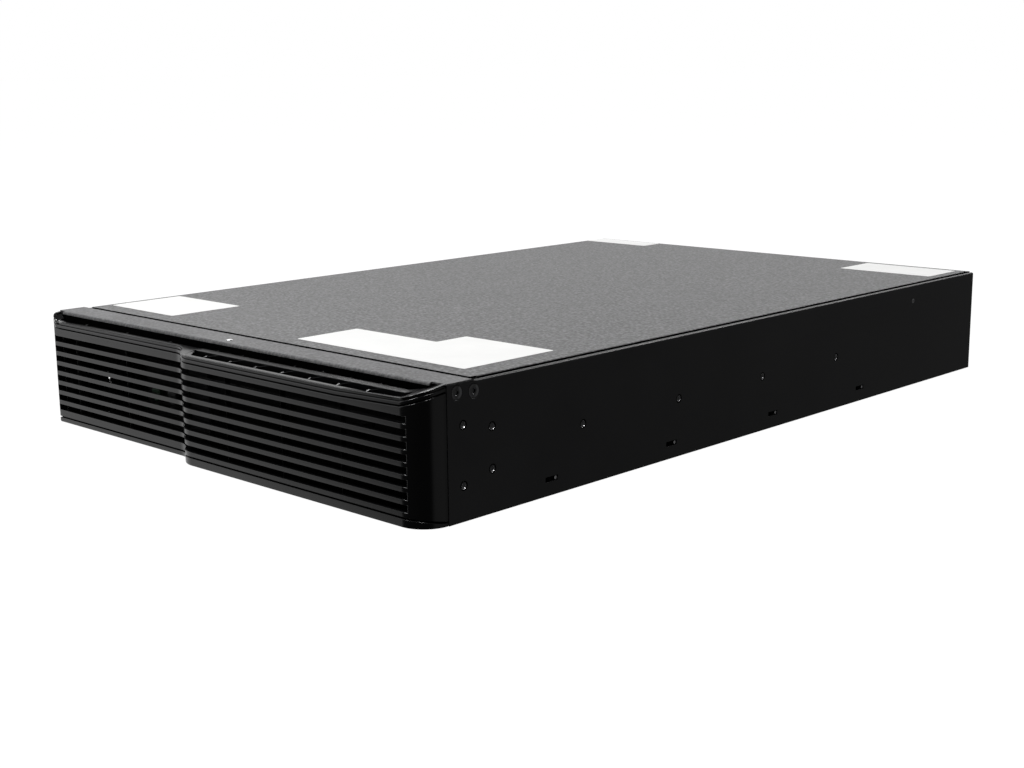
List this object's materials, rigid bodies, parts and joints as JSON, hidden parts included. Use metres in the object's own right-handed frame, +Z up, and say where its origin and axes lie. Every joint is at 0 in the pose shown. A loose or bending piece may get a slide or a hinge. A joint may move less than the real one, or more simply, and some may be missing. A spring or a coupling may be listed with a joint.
{
  "type": "uninterruptible power supply",
  "caption": "Low rack or tower uninterruptible power supply with a louvred pull-off bezel, a sliding battery tray, rear sockets and cooling fans.",
  "frame": {"origin": "middle of the footprint on the underside", "axes": "+X to the right seen from the front, +Y from the front bezel to the rear panel, +Z up"},
  "size_m": [0.438, 0.686, 0.0884],
  "materials": {
    "case_black": "smooth black powder coat, low gloss",
    "cover_textured": "fine-textured dark grey powder coat",
    "bezel_plastic": "black moulded plastic, satin with glossy corner",
    "inner_black": "matt black paint",
    "zinc_steel": "bright zinc plated",
    "dark_screw": "black oxide",
    "label_paper": "blank white coated paper",
    "panel_plastic": "dark grey moulded plastic",
    "light_pipe": "translucent green plastic",
    "button_green": "green moulded plastic",
    "button_grey": "light grey moulded plastic",
    "tray_steel": "zinc-coated sheet steel",
    "battery_case": "dark grey battery case plastic",
    "terminal_metal": "tinned brass",
    "red_lead": "red insulated cable",
    "blue_lead": "blue insulated cable",
    "connector_blue": "blue connector housing",
    "nylon_white": "white nylon",
    "inner_steel": "galvanised sheet steel",
    "board_green": "green circuit board",
    "board_blue": "blue circuit board",
    "sink_aluminium": "extruded aluminium",
    "chip_black": "black moulded epoxy",
    "capacitor_sleeve": "blue-black heat-shrink sleeve",
    "copper_winding": "enamelled copper wire",
    "core_steel": "varnished laminated steel",
    "coil_tape": "amber winding tape",
    "ribbon_grey": "grey ribbon cable",
    "socket_black": "black socket thermoplastic",
    "pin_metal": "nickel plated",
    "breaker_white": "off-white button plastic",
    "fan_plastic": "black fan thermoplastic",
    "guard_wire": "bright plated wire"
  },
  "bodies": {
    "case": {"chassis_tray": "case_black", "top_cover": "cover_textured", "front_strip": "cover_textured", "front_plate": "inner_black", "bezel_studs": "zinc_steel", "strip_screws": "dark_screw", "strip_rivet": "zinc_steel", "cover_screws": "zinc_steel", "side_inserts": "zinc_steel", "slot_tabs": "zinc_steel", "top_labels": "label_paper", "control_panel": "panel_plastic", "status_lights": "light_pipe", "slide_strips": "nylon_white", "divider_wall": "inner_steel", "bay_rear_wall": "inner_steel", "bay_socket": "connector_blue", "battery_leads": "red_lead", "main_board": "board_green", "board_standoffs": "terminal_metal", "heat_sinks": "sink_aluminium", "power_transistors": "chip_black", "bus_capacitors": "capacitor_sleeve", "choke_coils": "copper_winding", "relays": "chip_black", "transformer_core": "core_steel", "transformer_coil": "coil_tape", "filter_board": "board_green", "filter_chokes": "copper_winding", "control_board": "board_blue", "control_cable": "ribbon_grey", "inlet_leads": "blue_lead", "rear_panel": "case_black", "power_inlet": "socket_black", "inlet_pins": "pin_metal", "outlet_block": "socket_black", "large_outlet": "socket_black", "breaker_bushings": "panel_plastic", "battery_port": "connector_blue", "data_ports": "pin_metal", "card_cover": "case_black", "rear_screws": "zinc_steel", "fan_frames": "fan_plastic", "fan_guards": "guard_wire"},
    "tray": {"battery_tray": "tray_steel", "handle_brackets": "dark_screw", "battery_blocks": "battery_case", "battery_terminals": "terminal_metal", "jumper_leads": "red_lead", "battery_straps": "tray_steel", "tray_plug": "connector_blue", "tray_thumbscrews": "zinc_steel"},
    "handle": {"tray_handle": "zinc_steel"},
    "bezel": {"front_bezel": "bezel_plastic"},
    "power_key": {"power_button": "button_green"},
    "select_key": {"select_button": "button_grey"},
    "breaker_left": {"breaker_button_left": "breaker_white"},
    "breaker_right": {"breaker_button_right": "breaker_white"},
    "fan_left": {"fan_rotor_left": "fan_plastic"},
    "fan_right": {"fan_rotor_right": "fan_plastic"}
  },
  "joints": [
    {"name": "tray_slide", "type": "slide", "parent": "case", "child": "tray", "axis": [0, -1, 0], "range_m": [0, 0.4]},
    {"name": "bezel_pull", "type": "slide", "parent": "case", "child": "bezel", "axis": [0, -1, 0], "range_m": [0, 0.5]},
    {"name": "handle_swing", "type": "hinge", "parent": "tray", "child": "handle", "pos_m": [0, -0.3276, 0.05], "axis": [-1, 0, 0], "range_deg": [0, 90]},
    {"name": "power_press", "type": "slide", "parent": "case", "child": "power_key", "axis": [0, 1, 0], "range_m": [0, 0.0015], "stiffness_N_per_m": 400, "springref_m": -0.0015},
    {"name": "select_press", "type": "slide", "parent": "case", "child": "select_key", "axis": [0, 1, 0], "range_m": [0, 0.0015], "stiffness_N_per_m": 400, "springref_m": -0.0015},
    {"name": "breaker_left_reset", "type": "slide", "parent": "case", "child": "breaker_left", "axis": [0, 1, 0], "range_m": [0, 0.004]},
    {"name": "breaker_right_reset", "type": "slide", "parent": "case", "child": "breaker_right", "axis": [0, 1, 0], "range_m": [0, 0.004]},
    {"name": "fan_left_spin", "type": "hinge", "parent": "case", "child": "fan_left", "pos_m": [-0.17, 0.317, 0.044], "axis": [0, 1, 0], "continuous": true},
    {"name": "fan_right_spin", "type": "hinge", "parent": "case", "child": "fan_right", "pos_m": [-0.087, 0.317, 0.044], "axis": [0, 1, 0], "continuous": true}
  ],
  "couplings": [
    {"joint": "bezel_pull", "follows": "tray_slide", "ratio": 1.25},
    {"joint": "handle_swing", "follows": "tray_slide", "rad_per_m": 3.9269}
  ]
}
